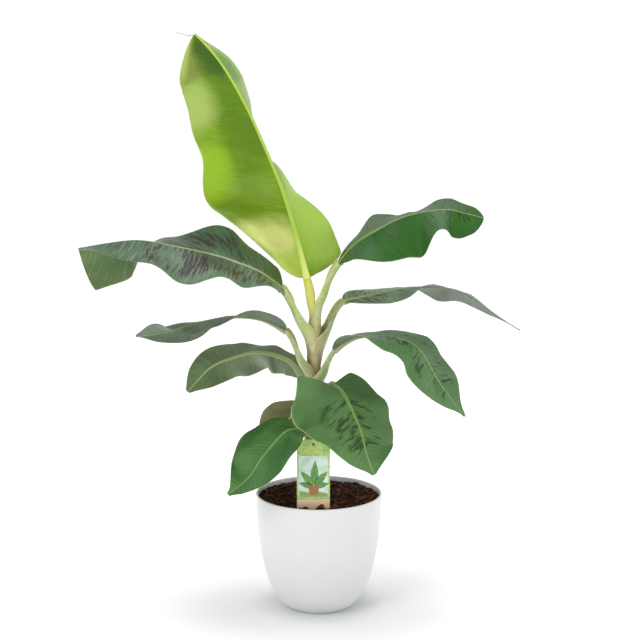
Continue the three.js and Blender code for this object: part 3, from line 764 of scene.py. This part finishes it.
def make_crumbs(name, material, count, sizes, shape, draw):
    """Crumbs and chips of bark strewn over the soil."""
    edge = pot_radius(SOIL_TOP) - POT["wall"] - 2
    bm = bmesh.new()
    for _ in range(count):
        size = draw.uniform(*sizes)
        away, turn = (edge - size * 0.6) * math.sqrt(draw.random()), draw.uniform(0, TAU)
        x, y = away * math.cos(turn), away * math.sin(turn)
        z = soil_height(x, y) + size * draw.uniform(0.02, 0.3)
        tilt = Euler([draw.uniform(-0.6, 0.6), draw.uniform(-0.6, 0.6), draw.uniform(0, TAU)])
        scale = Matrix.Diagonal([size * k * draw.uniform(0.7, 1.2) for k in shape])
        place = Matrix.Translation((x, y, z)) @ (tilt.to_matrix() @ scale).to_4x4()
        made = bmesh.ops.create_icosphere(bm, subdivisions=1, radius=0.5, matrix=place)["verts"]
        for vert in made:
            vert.co += Vector([draw.uniform(-0.12, 0.12) * size for _ in range(3)])
    bmesh.ops.transform(bm, matrix=Matrix.Scale(MM, 4), verts=bm.verts[:])
    piece = finish_piece(name, bm, [material], None, "potting_soil")
    piece.data.shade_flat()
    return piece


# ---- the label ------------------------------------------------------------------------------


def label_outline(inset, low, high, corner):
    """Half of a card's outline on its own plane, from foot to top, mirrored to the other half."""
    half = LABEL["width"] / 2 - inset
    side = [(half, low), (half, high - corner), (half - corner, high)]
    return side + [(-x, z) for x, z in reversed(side)]


def flat_shape(outline, thick, front):
    """A flat plate of that outline, in the label's plane, its face `front` before the card."""
    bm = bmesh.new()
    ring = [bm.verts.new((x, -front, z)) for x, z in outline]
    face = bm.faces.new(ring)
    grown = bmesh.ops.extrude_face_region(bm, geom=[face])["geom"]
    back = [part for part in grown if isinstance(part, bmesh.types.BMVert)]
    bmesh.ops.translate(bm, vec=(0, thick, 0), verts=back)
    bmesh.ops.recalc_face_normals(bm, faces=bm.faces[:])
    return bm


def stand_label(bm):
    """Puts a shape made on the label's own plane in its place in the pot."""
    place = Matrix.Translation((LABEL_PLACE["x"], LABEL_PLACE["y"], 0))
    turn = Matrix.Rotation(LABEL_PLACE["turn"], 4, "Z")
    bmesh.ops.transform(bm, matrix=Matrix.Scale(MM, 4) @ place @ turn, verts=bm.verts[:])
    return bm


def leaf_outline(x, z, length, width, turn):
    """A lance-shaped leaf standing on (x, z)."""
    points = 9
    half = [
        (width / 2 * math.sin(math.pi * (k / points) ** 0.8), length * k / points)
        for k in range(points + 1)
    ]
    ring = half + [(-a, b) for a, b in reversed(half[1:-1])]
    cos, sin = math.cos(turn), math.sin(turn)
    return [(x + a * cos + b * sin, z - a * sin + b * cos) for a, b in ring]


def drill_hole(card, z):
    """Cuts the hanging hole through the card at height z."""
    bm = bmesh.new()
    bmesh.ops.create_cone(
        bm, cap_ends=True, segments=32, radius1=LABEL["hole"], radius2=LABEL["hole"], depth=8,
        matrix=Matrix.Translation((0, 0, z)) @ Matrix.Rotation(math.pi / 2, 4, "X"),
    )
    bore = bpy.data.meshes.new("bore")
    stand_label(bm).to_mesh(bore)
    bm.free()
    cutter = bpy.data.objects.new("bore", bore)
    bpy.context.scene.collection.objects.link(cutter)
    cut = card.modifiers.new("hole", "BOOLEAN")
    cut.operation, cut.solver, cut.object = "DIFFERENCE", "EXACT", cutter
    bpy.context.view_layer.update()
    cut_card = card.evaluated_get(bpy.context.evaluated_depsgraph_get())
    card.data = bpy.data.meshes.new_from_object(cut_card)
    card.modifiers.clear()
    card.data.shade_flat()
    bpy.data.objects.remove(cutter)


def print_areas(inks, bottom):
    """The printed areas: a pale field, a foot strip, and a plain plant of a few leaves."""
    ink_depth, step = 0.12, 0.08
    areas = {
        "field": [label_outline(3, bottom + 20, bottom + 92, 2)],
        "strip": [label_outline(0.6, bottom - 6, bottom + 16, 0.5)],
        "ground": [[(-24, bottom + 20.5), (24, bottom + 20.5), (24, bottom + 26), (9, bottom + 30),
                    (-8, bottom + 28), (-24, bottom + 31)]],
        "leaf": [
            leaf_outline(1, bottom + 42, 42, 13, 0.05), leaf_outline(1, bottom + 40, 34, 12, 0.75),
            leaf_outline(0, bottom + 40, 33, 12, -0.7), leaf_outline(1, bottom + 38, 27, 10, 1.35),
            leaf_outline(0, bottom + 38, 26, 10, -1.3),
        ],
        "pot": [[(-6, bottom + 24), (7, bottom + 24), (10, bottom + 40), (-9, bottom + 40)]],
    }
    for order, (ink, shapes) in enumerate(areas.items()):
        bits = bmesh.new()
        for shape in shapes:
            front = LABEL["thick"] / 2 + ink_depth + order * step
            plate = flat_shape(shape, ink_depth * 0.9, front)
            mesh = bpy.data.meshes.new("bit")
            plate.to_mesh(mesh)
            plate.free()
            bits.from_mesh(mesh)
            bpy.data.meshes.remove(mesh)
        piece = finish_piece("label_" + ink, stand_label(bits), [inks[ink]], None, "label_card")
        piece.data.shade_flat()


def make_label(inks):
    top, bottom = LABEL["bottom"] + LABEL["height"], LABEL["bottom"]
    half = LABEL["width"] / 2
    outline = [
        (half * LABEL["point"], bottom - LABEL["buried"]), (half, bottom - LABEL["shoulder"]),
        (half, top - LABEL["corner"]), (half - LABEL["corner"], top),
    ]
    outline += [(-x, z) for x, z in reversed(outline)]
    bm = stand_label(flat_shape(outline, LABEL["thick"], LABEL["thick"] / 2))
    card = finish_piece("label_card", bm, [inks["header"]], "plant_label", "label_card")
    drill_hole(card, top - LABEL["hole_drop"])
    print_areas(inks, bottom)


# ---- the stem, sheaths and stalks -----------------------------------------------------------

BUNDLE = 0.86  # the wrapped sheaths' outer radius, as a share of the solid stem's
NESTED = 4.4  # how much smaller a sheath deep in the bundle is than the outermost
CLOSED, OPENED = 78, 112  # heights over a stalk's foot between which its sheath opens in a V
PETIOLE_START = 0.34  # share of the piece that lies below the stalk's foot
STALK_OPENING = [14, 14, 14, 26, 68, 88, 92, 88, 80, 70, 60]  # half the V, in degrees


def make_stem_core(bark):
    """The heart that the sheaths are wrapped round, flared where it enters the soil."""
    rows = 90
    foot, top = SOIL_TOP - 8, STEM["top"] - 70
    profile = [(0, foot)]
    for k in range(rows + 1):
        z = mix(foot, top, k / rows)
        flare = 2.2 * smooth(SOIL_TOP + 14 - z, 0, 14)
        inside = NESTED * smooth(z, SOIL_TOP + 60, SOIL_TOP + 130)
        profile.append((BUNDLE * stem_radius(z) - inside + flare, z))
    profile.append((0, top))
    bm = spin_profile(profile, 48)
    for vert in bm.verts:
        z = vert.co.z / MM
        turn = math.atan2(vert.co.y, vert.co.x)
        ridges = 0.35 * noise.noise(Vector((math.cos(turn) * 6, math.sin(turn) * 6, z / 60)))
        centre = stem_at(z) * MM
        grow = 1 + ridges / 8
        vert.co = Vector((centre.x + vert.co.x * grow, centre.y + vert.co.y * grow, vert.co.z))
    return finish_piece("stem_core", bm, [bark], "pseudostem", "stem_sheath")


def sheath_radius(order, z):
    """The radius at height z of the sheath at that place in the list, inside those round it."""
    outer = list(LEAVES.values())[order + 1:]
    wraps = sum(smooth(other["stalk"]["foot"] + OPENED - z, 0, OPENED - CLOSED) for other in outer)
    return BUNDLE * stem_radius(z) + 0.6 - NESTED * (1 - 0.5**wraps)


def make_stalk(name, leaf, order, materials):
    """One leaf's sheath and stalk: a tube round the stem's heart that opens in a V on the side
    away from its leaf, and folds to a channelled stalk that runs into the blade's rib."""
    rib = rib_line(leaf)
    stalk = leaf["stalk"]
    base, ahead = rib.at(0), rib.ahead(0)
    foot = stem_at(stalk["foot"])
    away = Vector((base.x - foot.x, base.y - foot.y, 0)).normalized()
    knots = [
        foot + away * stalk["out"],
        foot + away * stalk["out"] + Vector((0, 0, stalk["rise"])),
        base - ahead * stalk["run"],
        base + ahead * 1.0,
    ]
    low = max(SOIL_TOP - 4, stalk["foot"] - 110)
    leaf_up = upright(Vector(leaf["face"][0]), ahead)

    def bezier(t):
        a, b, c, d = knots
        u = 1 - t
        return a * u**3 + b * 3 * u * u * t + c * 3 * u * t * t + d * t**3

    def centre(s):
        if s < PETIOLE_START:
            return stem_at(mix(low, stalk["foot"], s / PETIOLE_START))
        t = (s - PETIOLE_START) / (1 - PETIOLE_START)
        point = bezier(t)
        return stem_at(point.z).lerp(point, smooth(t, 0.1, 0.55))

    def section(s):
        """Middle, directions, radius, wall and half opening at share s."""
        middle = centre(s)
        step = 0.004
        direction = (centre(min(s + step, 1)) - centre(max(s - step, 0))).normalized()
        t = max(0, (s - PETIOLE_START) / (1 - PETIOLE_START))
        facing = (-away).lerp(leaf_up, smooth(t, 0.3, 0.95)).normalized()
        up = upright(facing, direction)
        wrapped = sheath_radius(order, middle.z)
        free = along(stalk["radii"], t)
        radius = mix(wrapped, free, smooth(t, 0.3, 0.6))
        wall = mix(1.1, 0.6 * radius, smooth(t, 0.3, 0.8))
        opening = math.radians(along(STALK_OPENING, t))
        return middle, up, direction.cross(up), radius, wall, opening

    cache = {}

    def rule(x, y, inner):
        key = round(y, 5)
        if key not in cache:
            cache[key] = section((y + 1) / 2)
        middle, up, right, radius, wall, opening = cache[key]
        angle = opening + (math.pi - opening) * (1 + x)
        thin = 1 - 0.75 * abs(x) ** 8
        r = radius - (wall * thin if inner else 0)
        sag = 0.25 * noise.noise(middle / 14 + Vector((x * 2, order, 0)))
        return middle + (up * math.cos(angle) + right * math.sin(angle)) * (r + sag)

    def maps(x, y):
        return (x * 40 * MM, (y + 1) / 2 * 260 * MM), (x, (y + 1) / 2)  # no rib

    bm = shell(40, 110, rule, maps)
    return finish_piece("stalk_" + name + "_sheathed", bm, materials, "stalk_" + name, "leaf_stalk")


# ---- the blades -----------------------------------------------------------------------------

BLADE_STEPS = (52, 190)
BLADE_THICK = 0.7
PLEAT = {"height": 0.28, "step": 7.5}
CRUMPLE = {"height": 1.5, "across": 26, "along": 19}
RIB = {"groove": 0.35, "keel": 1.15}  # above and below the blade, as shares of its half width


def blade_slot(name):
    return "young_leaf" if name == "top" else "grown_leaf"


def make_blade(name, leaf, order, materials):
    """A blade: a sheet bent along its rib by the leaf's lists, with a ribbed underside."""
    rib = rib_line(leaf)
    faces = [Vector(f) for f in leaf["face"]]
    ripple, ends = leaf["ripple"], leaf["ends"]
    rib_start = leaf["stalk"]["radii"][-1]
    rows = {}

    def row(y):
        key = round(y, 5)
        if key not in rows:
            even = (y + 1) / 2
            s = even - 0.45 * math.sin(TAU * even) / TAU
            ahead = rib.ahead(s)
            up = upright(faces[0].lerp(faces[1], s), ahead)
            share = outline_share(s, ends)
            halves = {}
            for side in ("right", "left"):
                half = leaf[side]
                reach = mix(LEAST_REACH, along(half["reach"], s), share)
                halves[side] = (
                    reach, math.radians(along(half["lift"], s)),
                    math.radians(along(half["curl"], s)) + 1e-6,
                )
            wave = ripple["height"] * math.sin(TAU * (ripple["count"] * s + ripple["start"]))
            rows[key] = (s, rib.at(s), up, ahead.cross(up), halves, wave * math.sin(math.pi * s))
        return rows[key]

    def spread(x):
        return abs(x) ** 1.6  # steps stand closer near the rib

    def rib_reach(s, reach):
        """Half the rib's width: as wide as the stalk at the base, and soon narrower."""
        return min(mix(rib_start * 0.9, 0.9, s**0.32), reach * 0.8)

    def rule(x, y, inner):
        s, at, up, right, halves, wave = row(y)
        side = "right" if x >= 0 else "left"
        reach, lift, curl = halves[side]
        d = spread(x)
        out = (math.sin(lift + curl * d) - math.sin(lift)) / curl
        rise = (math.cos(lift) - math.cos(lift + curl * d)) / curl
        sign = 1 if x >= 0 else -1
        across_mm, run_mm = reach * d, rib.length * s
        turn = lift + curl * d if x else 0
        vein = run_mm - VEIN_SLANT * across_mm
        offset = wave * d * d
        inside = smooth(across_mm, 3, 14) * (1 - 0.6 * d)
        offset += PLEAT["height"] * math.sin(TAU * vein / PLEAT["step"]) * inside
        at_crumple = (sign * across_mm / CRUMPLE["across"], vein / CRUMPLE["along"], order * 7.3)
        crumple = CRUMPLE["height"] * noise.noise(Vector(at_crumple))
        offset += crumple * smooth(across_mm, 8, 45) * math.sin(math.pi * min(s * 1.1, 1))
        rib_half = rib_reach(s, reach)
        bulge = max(0, 1 - (across_mm / rib_half) ** 2)
        offset -= RIB["groove"] * rib_half * bulge
        if inner:
            keel = RIB["keel"] * rib_half * math.sqrt(bulge) * (1 - 0.3 * s)
            offset -= BLADE_THICK * (1 - 0.5 * d**4) + keel
        return (
            at
            + right * sign * (reach * out - offset * math.sin(turn))
            + up * (reach * rise + offset * math.cos(turn))
        )

    def maps(x, y):
        s, _, _, _, halves, _ = row(y)
        reach = halves["right" if x >= 0 else "left"][0]
        sign = 1 if x >= 0 else -1
        d = spread(x)
        span = (sign * reach * d * MM, rib.length * s * MM)
        return span, (sign * d, s), (min(reach * d / rib_reach(s, reach), 3), s)

    bm = shell(*BLADE_STEPS, rule, maps)
    return finish_piece("blade_" + name, bm, materials, "leaf_" + name, blade_slot(name))


def make_dry_tip(name, leaf, material, sweep):
    """The thin thread that a leaf's tip dries to, drawn from the tip along sweep, in mm."""
    start, sweep = rib_line(leaf).at(0.995), Vector(sweep)
    aside = sweep.cross(Vector((0, 1, 0))).normalized()

    def rule(x, y, inner):
        t = (y + 1) / 2
        middle = start + sweep * t + aside * (sweep.length * 0.05 * math.sin(5 * t))
        angle = math.pi - 1.4 * x if inner else 1.4 * x
        radius = mix(0.7, 0.2, t)
        return middle + (aside * math.cos(angle) + Vector((0, 1, 0)) * math.sin(angle)) * radius

    def maps(x, y):
        return (x * MM, y * 10 * MM), (x, (y + 1) / 2)

    bm = shell(4, 14, rule, maps)
    finish_piece("dry_tip_" + name, bm, [material, material], None, blade_slot(name))


# ---- the colours of the leaves ---------------------------------------------------------------

# The youngest leaf's soft clouds of colour, mostly painted light and shade: painted shade dark by the
# rib, painted light pale and lime towards its margins, a near-white painted glow near the base, and
# grey-green painted sheen over one half.
TOP_TONES_LIGHT_AND_SHADE = [
    (0.15, 0.62, 0.5, 0.26, "#5a8012", 0.8),
    (0.95, 0.5, 0.45, 0.13, "#a4cc3c", 0.85),
    (0.9, 0.77, 0.5, 0.13, "#b3c994", 0.9),
    (0.6, 0.93, 0.4, 0.06, "#8a8c66", 0.7),
    (0.12, 0.92, 0.36, 0.1, "#3c5f1e", 0.95),
    (0.9, 0.97, 0.3, 0.06, "#bcd2a4", 0.7),
    (0.35, 0.38, 0.4, 0.07, "#93b264", 0.45),
    (0.8, 0.31, 0.5, 0.07, "#7c9c26", 0.75),
    (0.5, 0.17, 0.6, 0.1, "#fbffd4", 1.0),
    (0.5, 0.05, 0.9, 0.07, "#d8ee8c", 0.95),
    (-0.5, 0.82, 1.0, 0.24, "#9cba92", 0.95),
    (-0.3, 0.84, 0.4, 0.08, "#6c9068", 0.7),
    (-0.7, 0.52, 1.0, 0.13, "#7f9e76", 0.85),
    (-0.5, 0.2, 1.0, 0.2, "#b4d874", 0.85),
    (-0.6, 0.12, 0.4, 0.08, "#b0cc84", 0.5),
]

# What both sides of the blades share, unless their palette says otherwise.
COMMON_SKIN = {
    "seed": 0, "cloud_mm": 70, "streak": 0.3, "line": 0.16, "rough": 0.42, "rib_width": 1.0,
    "root": "#93ac62", "sap": (1, 0.91, 0.76, 1), "patches": (), "blotch_size": (34, 9),
    "blotch_side": 0.95,
}


def palette(base, second, vein, rib, edge, **more):
    """One side of a blade: its ground, the broad clouds on it, side veins, rib and margin.

    more changes what the others share. streak and line say how strongly streaks and veins show,
    root is the rib's colour at its base, and tint is a colour multiplied over the whole; on the
    young top leaf its strong yellow also paints the glow of light shining through the leaf.
    patches are soft clouds, each with its share across and along, half sizes, colour and
    strength; beside the leaves' own tones, many of them are painted sheen and painted shade, and
    on the young leaf pale painted glow. blotch is the colour of dark flecks, with their amount,
    their size along and across the veins, blotch_at (the middle and reach along the blade) and
    blotch_side (the share across beyond which they are few). tip is the colour at the tip, and
    tip_range where it starts and how far it covers.
    """
    own = {"base": base, "second": second, "vein": vein, "rib": rib, "edge": edge}
    return {**COMMON_SKIN, **own, **more}


# Younger leaves are yellower, older ones darker and greyer. This is how each looks from above,
# and UNDER how it looks from below.
UPPER = {
    "top": palette("#8aa874", "#9dbb90", "#b9cd98", "#b8d258", "#a9c070", patches=TOP_TONES_LIGHT_AND_SHADE),
    # upper_left: its pale grey patches are painted sheen, its dark green ones painted shade
    "upper_left": palette(
        "#3f604b", "#577662", "#90a69c", "#a8b79a", "#6c8c60",
        blotch="#42343c", amount=1.35, streak=0.6, blotch_size=(26, 3.4), blotch_at=(0.42, 0.42),
        seed=2, rough=0.36,
        patches=[
            (-0.5, 0.48, 0.7, 0.3, "#7c9690", 0.5), (0.3, 0.8, 0.8, 0.2, "#7e978e", 0.65),
            (0.6, 0.28, 0.6, 0.16, "#42694f", 0.9), (-0.3, 0.36, 0.5, 0.12, "#4c5c54", 0.75),
            (-0.4, 0.12, 0.9, 0.08, "#5c7c6c", 0.7), (0.3, 0.02, 1.2, 0.1, "#43603c", 0.8),
        ],
    ),
    # upper_right: its grey-green patches are painted sheen
    "upper_right": palette(
        "#2c5a2a", "#2f6a22", "#4a7442", "#86a46a", "#6c8c50",
        blotch="#24331f", amount=0.45, seed=3, streak=0.16, line=0.1, blotch_size=(20, 4),
        rough=0.4,
        patches=[
            (-0.5, 0.22, 1.0, 0.2, "#66786c", 0.85), (-0.5, 0.72, 1.0, 0.2, "#5c7860", 0.75),
            (0.4, 0.72, 0.8, 0.09, "#587660", 0.7), (0.4, 0.12, 0.9, 0.16, "#44664a", 0.7),
        ],
    ),
    "right": palette(
        "#5e7e68", "#7c9884", "#98ae9c", "#88a27a", "#6c8468",
        blotch="#3a443c", amount=1.0, streak=0.5, blotch_size=(18, 4), seed=4,
    ),
    "left": palette(
        "#4c6c54", "#627f6a", "#8ba597", "#8aa06c", "#76907a",
        blotch="#41353c", amount=0.9, streak=0.5, blotch_size=(18, 4), blotch_at=(0.5, 0.3),
        seed=5,
    ),
    "front_right": palette(
        "#4c7a4c", "#5f8a60", "#7c9c7c", "#8aa878", "#a8b490",
        blotch="#2b4230", amount=1.15, blotch_size=(20, 6), blotch_at=(0.55, 0.42),
        blotch_side=0.75, seed=6,
        patches=[
            (-0.6, 0.5, 0.8, 0.35, "#5f7f68", 0.7), (0.3, 0.25, 0.8, 0.14, "#5c7460", 0.7),
            (0.8, 0.5, 0.4, 0.3, "#4c8048", 0.6),
        ],
    ),
    "back_left": palette(
        "#35652f", "#447438", "#6a9058", "#8cab6c", "#789458",
        blotch="#2c4428", amount=0.5, seed=7,
    ),
    "front": palette(
        "#4c7a44", "#5c8a56", "#6f9a6a", "#82ac6a", "#9cb47c",
        rib_width=1.25, root="#86a874", blotch="#2c4a28", amount=1.25, blotch_size=(24, 7),
        blotch_at=(0.5, 0.36), blotch_side=0.68, seed=8, streak=0.22,
        patches=[
            (-0.5, 0.12, 1.0, 0.18, "#4a6c4c", 0.7), (0.2, 0.1, 0.5, 0.2, "#55795a", 0.5),
            (-0.8, 0.5, 0.4, 0.3, "#5c8c5c", 0.6),
        ],
    ),
    "front_left": palette(
        "#386c34", "#4b7e48", "#66945c", "#80ac6c", "#7ea860",
        seed=9, rough=0.3,
        patches=[
            (0.85, 0.3, 0.3, 0.3, "#2c6018", 0.8), (0.5, 0.65, 0.4, 0.15, "#5a9058", 0.7),
            (-0.5, 0.4, 0.5, 0.2, "#2c6434", 0.6), (0.2, 0.95, 1.2, 0.1, "#5c9444", 0.6),
        ],
    ),
    "back": palette("#3f6838", "#4c743e", "#6e8e60", "#8ca66c", "#789458", seed=10),
}

UNDER = {
    # the young leaf from below: its strong yellow tint and pale patches also paint the glow of light
    # shining through it
    "top": palette(
        "#6d931e", "#80a32c", "#a6c850", "#b8d878", "#b4d070",
        line=0.3, streak=0.34, root="#f0f8c0", rib_width=0.75, sap=(0.86, 0.88, 0.42, 1),
        cloud_mm=80, seed=1, patches=TOP_TONES_LIGHT_AND_SHADE,
    ),
    "upper_left": palette("#4c6a42", "#607e56", "#849c7e", "#8fa670", "#667c54", seed=12),
    "upper_right": palette("#4c6c3e", "#5f8050", "#869c74", "#9fb86e", "#7a905a", seed=13),
    "right": palette(
        "#5c6a5c", "#707c70", "#8c968a", "#7c8c6c", "#6c7a5c",
        sap=(1, 0.96, 0.96, 1), seed=14,
    ),
    "left": palette(
        "#5c7058", "#70826c", "#8c9a88", "#92a276", "#5c6a54",
        sap=(1, 0.96, 0.94, 1), rib_width=0.8, root="#a4b084", seed=15,
        patches=[
            (0.7, 0.1, 0.6, 0.16, "#46543f", 0.8), (-0.6, 0.2, 0.8, 0.2, "#56664e", 0.6),
        ],
    ),
    "front_right": palette(
        "#4a6044", "#5c7454", "#80947a", "#a0ae88", "#7a8e60",
        sap=(1, 0.95, 0.92, 1), root="#a8b48c", seed=16,
    ),
    "back_left": palette(
        "#56694a", "#697c5c", "#8c9a7c", "#94a874", "#6a7e4c",
        sap=(1, 0.95, 0.94, 1), root="#9cac84", tip="#587640", seed=17, tip_range=(0.45, 0.5),
        patches=[
            (0.5, 0.28, 0.9, 0.03, "#3f5530", 0.8), (0.6, 0.4, 0.6, 0.08, "#8a947e", 0.75),
            (0.6, 0.08, 0.8, 0.1, "#5c8048", 0.7), (-0.5, 0.35, 1.0, 0.3, "#66765a", 0.6),
        ],
    ),
    "front": palette("#587648", "#6a865a", "#8ca276", "#9eb672", "#849a66", seed=18),
    "front_left": palette("#54763f", "#668652", "#889f72", "#9ab470", "#849a66", seed=19),
    "back": palette("#74795a", "#868a6c", "#4a5032", "#a4ae78", "#70764c", seed=20, line=0.4),
}

# Stalks: a yellow young one, pale and green ones, and the old ones, red-brown at the foot.
STALK = {
    "top": {"foot": "#d8cc6c", "top": "#d2d65c", "bloom": "#e2e092", "flush": "#b08858",
            "flush_share": 0.6, "fibre": "#b0b04c", "edge": "#e4dc90"},
    "pale": {"foot": "#cccc92", "top": "#a6c06e", "bloom": "#d2dca8", "flush": "#b8866a",
             "flush_share": 0.95, "fibre": "#94a866", "edge": "#e4cc92"},
    "green": {"foot": "#bcb088", "top": "#98b070", "bloom": "#c4cca0", "flush": "#a8705a",
              "flush_share": 1.0, "fibre": "#7e9058", "edge": "#dcc48c"},
    "old": {"foot": "#6a3a28", "top": "#8ea06c", "bloom": "#8c6450", "flush": "#54281a",
            "flush_share": 0.9, "fibre": "#4a2a1c", "edge": "#b09470"},
}
STALK_KIND = {
    "top": "top", "upper_right": "pale", "upper_left": "pale", "back": "old",
    "front_left": "old", "front": "old",
}
DRY_TIPS = {"top": (-34, 0, 2), "front_right": (7, 0, -4), "right": (4, 0, -3)}  # sweeps in mm


# ---- the plant ------------------------------------------------------------------------------


def make_plant():
    make_pot(mould_white_plastic())
    make_soil(mould_peat("peat_moist", "#1c0e08", "#4a2a18", 5))
    bark = mould_peat("bark_chips", "#40210f", "#8a5230", 5)
    coir = mould_peat("peat_crumbs", "#1e100a", "#45271a", 3)
    draw = random.Random(11)
    make_crumbs("soil_crumbs", coir, 900, (2, 6), (1, 0.9, 0.7), draw)
    make_crumbs("soil_bark", bark, 320, (4, 10), (1, 0.6, 0.32), draw)
    make_crumbs("soil_lumps", bark, 70, (8, 14), (1, 0.8, 0.5), draw)

    make_label({
        "header": print_ink("card_green_ink", "#c0d878", "#9cc46a"),
        "field": print_ink("card_pale_ink", "#dcece8", "#c4e0c4", 14),
        "strip": print_ink("card_sand_ink", "#fbdcb8"),
        "ground": print_ink("card_olive_ink", "#8aa85a", "#a0b060"),
        "leaf": print_ink("card_leaf_ink", "#4f8a3e", "#74a552", 5),
        "pot": print_ink("card_clay_ink", "#a5713f"),
    })

    make_stem_core(grow_stem_skin())
    stalk_skins = {kind: grow_stalk_skin("stalk_skin_" + kind, skin) for kind, skin in STALK.items()}
    for order, (name, leaf) in enumerate(LEAVES.items()):
        skin = stalk_skins[STALK_KIND.get(name, "green")]
        make_stalk(name, leaf, order, [skin, skin])
        upper = grow_blade_skin("blade_upper_" + name, UPPER[name])
        under = grow_blade_skin("blade_under_" + name, UNDER[name])
        make_blade(name, leaf, order, [upper, under])
    straw = print_ink("dry_leaf_tip", "#a89c94", "#84705c", 5)
    for name, sweep in DRY_TIPS.items():
        make_dry_tip(name, LEAVES[name], straw, sweep)


# ---- floor, light and camera ----------------------------------------------------------------

ROOM = {"front": 0.3, "side": 0.8}  # the room's brightness, where the sweep behind is 1
SWEEP_GLOW = {"near": 0.12, "far": 0.57}  # the floor's own light, by the pot and half a metre off
LAMPS = (  # name, place, size in metres, watts
    ("key", (-1.5, -2.0, 2.4), 1.2, 26),
    ("fill", (2.2, -1.6, 1.4), 1.8, 6),
    ("top", (0.3, 0.2, 2.8), 1.6, 26),
)
LAMP_AIM = Vector((0, 0, 0.5))


def make_floor():
    """A pale floor that glows a little, least round the pot's foot, where a painted contact shadow
    also greys its colour.
    """
    bm = bmesh.new()
    bmesh.ops.create_grid(bm, x_segments=2, y_segments=2, size=60)
    mesh = bpy.data.meshes.new("floor")
    bm.to_mesh(mesh)
    bm.free()
    floor = bpy.data.objects.new("floor", mesh)
    bpy.context.scene.collection.objects.link(floor)
    material, tree, shader = new_material("studio_sweep_lit")
    place = add(tree, "TexCoord").node.outputs["Object"]
    away = add(tree, "VectorMath", [place], operation="LENGTH")
    glow = [away, 0.08, 0.5, SWEEP_GLOW["near"], SWEEP_GLOW["far"]]
    fill(tree, shader, {
        # painted contact shadow: the floor's colour greys close round the pot's foot
        "Base Color": lay(tree, "#ccd2cc", (away, 0.05, 0.13, 0, 1, "#f4f4f4")),
        "Emission Color": "#ffffff",
        "Emission Strength": add(tree, "MapRange", glow, **SOFT),
        "Roughness": 0.95,
        "Specular IOR Level": 0.0,
    })
    mesh.materials.append(material)


def light_room():
    """A lit white sweep straight behind and along the horizon, and a dimmer room above it."""
    world = bpy.data.worlds.new("studio")
    world.use_nodes = True
    sky = world.node_tree
    toward = add(sky, "TexCoord").node.outputs["Generated"]
    ahead = add(sky, "VectorMath", [toward, (0, 0.99, -0.16)], operation="DOT_PRODUCT")
    x, _, z = add(sky, "SeparateXYZ", [toward]).node.outputs
    aside = add(sky, "Math", [x], operation="ABSOLUTE")
    room = add(sky, "MapRange", [aside, 0.2, 0.8, ROOM["front"], ROOM["side"]], **SOFT)
    horizon = add(sky, "MapRange", [z, 0.1, 0.22, 1.0, 0], **SOFT)
    behind = add(sky, "MapRange", [ahead, 0.8, 0.94, 0, 1.0], **SOFT)
    glow = add(sky, "Math", [room, horizon], operation="MAXIMUM")
    glow = add(sky, "Math", [glow, behind], operation="MAXIMUM")
    fill(sky, sky.nodes["Background"], {"Color": "#ffffff", "Strength": glow})
    scene = bpy.context.scene
    scene.world = world
    scene.view_settings.view_transform = "Standard"

    for name, place, size, power in LAMPS:
        light = bpy.data.lights.new(name, "AREA")
        light.energy, light.size = power, size
        lamp = bpy.data.objects.new(name, light)
        lamp.location = place
        lamp.rotation_euler = (LAMP_AIM - Vector(place)).to_track_quat("-Z", "Y").to_euler()
        scene.collection.objects.link(lamp)


def make_camera():
    """A short telephoto, 2.5 m in front of the pot, looking down a little."""
    aside, distance, height, pitch = 0.0022, 2.5, 0.921, 9.4
    data = bpy.data.cameras.new("camera")
    data.lens, data.sensor_width = 82.97, 36
    camera = bpy.data.objects.new("camera", data)
    camera.location = (aside, -distance, height)
    camera.rotation_euler = (math.radians(90 - pitch), 0, 0)
    bpy.context.scene.collection.objects.link(camera)
    bpy.context.scene.camera = camera


make_camera()
make_plant()
make_floor()
light_room()
